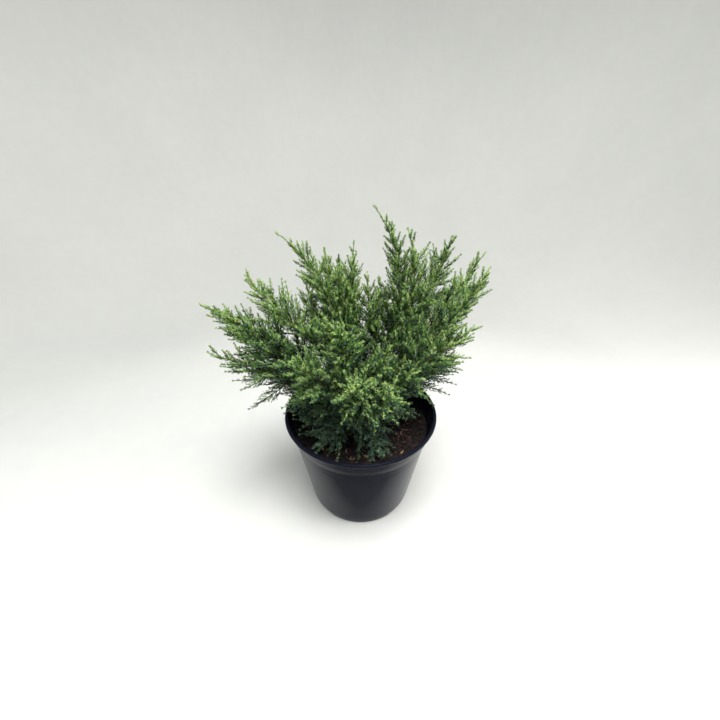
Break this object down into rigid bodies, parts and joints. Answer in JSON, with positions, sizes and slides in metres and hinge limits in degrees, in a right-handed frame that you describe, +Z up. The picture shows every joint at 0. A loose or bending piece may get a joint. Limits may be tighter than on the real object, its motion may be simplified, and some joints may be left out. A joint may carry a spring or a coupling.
{
  "type": "potted juniper",
  "caption": "Spreading evergreen juniper with feathery upright and arching plumes of scale leaves, growing in compost in a round black nursery pot.",
  "frame": {"origin": "centre of the pot's flat underside", "axes": "+Z up out of the ground, +Y to the back of the plant as it is seen, +X to its right"},
  "size_m": [0.3329, 0.2483, 0.4293],
  "materials": {
    "pot": "satin black moulded plastic with a bluish sheen, fine lines around the body under the band",
    "compost": "dark brown moist bark compost with reddish bark crumbs and tan fibres",
    "bark": "dull reddish brown peeling bark",
    "foliage": "soft scale leaves, yellow green at the growing tips, mid green below and blue grey in the shade"
  },
  "bodies": {
    "root": {"bough_back_left": "bark", "bough_back_left_low": "bark", "bough_back_low": "bark", "bough_back_right": "bark", "bough_back_right_low": "bark", "bough_front_centre": "bark", "bough_front_leader": "bark", "bough_front_left": "bark", "bough_front_right": "bark", "bough_left_crest": "bark", "bough_left_far": "bark", "bough_left_leader": "bark", "bough_left_lower": "bark", "bough_left_skirt": "bark", "bough_left_spire": "bark", "bough_left_upper": "bark", "bough_right_fan": "bark", "bough_right_far": "bark", "bough_right_front": "bark", "bough_right_inner": "bark", "bough_right_leader": "bark", "bough_right_low": "bark", "bough_right_outer": "bark", "bough_right_skirt": "bark", "bough_right_spire": "bark", "compost": "compost", "plume_back_left": "foliage", "plume_back_left_low": "foliage", "plume_back_low": "foliage", "plume_back_right": "foliage", "plume_back_right_low": "foliage", "plume_front_centre": "foliage", "plume_front_heart": "foliage", "plume_front_leader": "foliage", "plume_front_left": "foliage", "plume_front_low": "foliage", "plume_front_low_left": "foliage", "plume_front_right": "foliage", "plume_left_crest": "foliage", "plume_left_far": "foliage", "plume_left_heart": "foliage", "plume_left_leader": "foliage", "plume_left_lower": "foliage", "plume_left_skirt": "foliage", "plume_left_spire": "foliage", "plume_left_sprig": "foliage", "plume_left_upper": "foliage", "plume_right_fan": "foliage", "plume_right_far": "foliage", "plume_right_front": "foliage", "plume_right_heart": "foliage", "plume_right_inner": "foliage", "plume_right_leader": "foliage", "plume_right_low": "foliage", "plume_right_outer": "foliage", "plume_right_skirt": "foliage", "plume_right_spire": "foliage", "plume_right_sprig": "foliage", "pot": "pot", "stem": "bark"}
  },
  "joints": []
}
